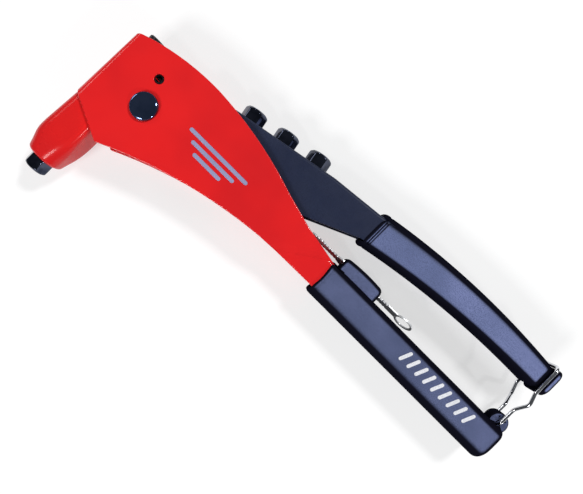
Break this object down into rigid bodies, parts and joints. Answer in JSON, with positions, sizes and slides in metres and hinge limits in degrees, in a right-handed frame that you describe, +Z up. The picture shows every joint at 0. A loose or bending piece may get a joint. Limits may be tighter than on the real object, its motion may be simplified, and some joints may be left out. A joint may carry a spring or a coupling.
{
  "type": "hand riveter",
  "caption": "Long-arm hand riveter with folded sheet frame, threaded nosepieces, vinyl handle grips, wire handle clasp and a flat nosepiece key.",
  "frame": {"origin": "Mouth of the fitted nosepiece's bore, on the barrel axis, in the tool's mid-plane.", "axes": "The tool lies on its side: -Y is the way the barrel points, +X runs from the barrel to the handle ends, +Z is up, out of the side that carries the pivot pin's head."},
  "size_m": [0.2518, 0.107, 0.0291],
  "materials": {
    "red_enamel": "glossy red stove enamel on folded sheet",
    "red_casting": "glossy red enamel on a casting",
    "navy_enamel": "satin dark navy paint on sheet",
    "dark_chrome": "polished dark chrome",
    "steel": "plain turned steel",
    "black_steel": "blackened steel",
    "spring_wire": "bright drawn spring wire",
    "key_steel": "zinc plated sheet",
    "grip_vinyl": "dipped dark navy vinyl with a fine grain"
  },
  "bodies": {
    "frame": {"body_frame": "red_enamel", "barrel": "red_casting", "nosepiece_fitted": "dark_chrome", "pivot_pin": "dark_chrome", "pivot_retaining_ring": "steel", "pivot_washer_near": "steel", "pivot_washer_far": "steel", "stop_pin": "steel", "lower_grip": "grip_vinyl"},
    "lever_arm": {"lever": "navy_enamel", "drive_trunnion_near": "steel", "drive_trunnion_far": "steel", "spare_nosepiece_1": "dark_chrome", "spare_nosepiece_2": "dark_chrome", "spare_nosepiece_3": "dark_chrome", "upper_grip": "grip_vinyl"},
    "pulling_head": {"jaw_case": "black_steel", "lock_nut": "black_steel", "mandrel_tube": "black_steel", "jaw_spring": "spring_wire"},
    "jaws": {"jaw_near": "steel", "jaw_far": "steel", "jaw_pusher": "steel"},
    "clasp": {"clasp_wire": "spring_wire"},
    "key": {"nosepiece_key": "key_steel"}
  },
  "joints": [
    {"name": "handle_pivot", "type": "hinge", "parent": "frame", "child": "lever_arm", "pos_m": [0.0208, 0.0572, 0], "axis": [0, 0, 1], "range_deg": [0, 40], "deforming": ["clasp_wire"]},
    {"name": "head_slide", "type": "slide", "parent": "frame", "child": "pulling_head", "axis": [0, -1, 0], "range_m": [0, 0.0145]},
    {"name": "jaw_slide", "type": "slide", "parent": "pulling_head", "child": "jaws", "axis": [0, 1, 0], "range_m": [0, 0.0025], "stiffness_N_per_m": 400, "springref_m": -0.004, "deforming": ["jaw_spring"]},
    {"name": "clasp_swing", "type": "hinge", "parent": "frame", "child": "clasp", "pos_m": [0.237, 0.0694, 0], "axis": [0, 0, 1], "range_deg": [-88, 0]},
    {"name": "key_slide", "type": "slide", "parent": "frame", "child": "key", "axis": [1, 0, 0], "range_m": [0, 0.045]}
  ],
  "couplings": [
    {"joint": "head_slide", "follows": "handle_pivot", "m_per_rad": 0.02057}
  ]
}
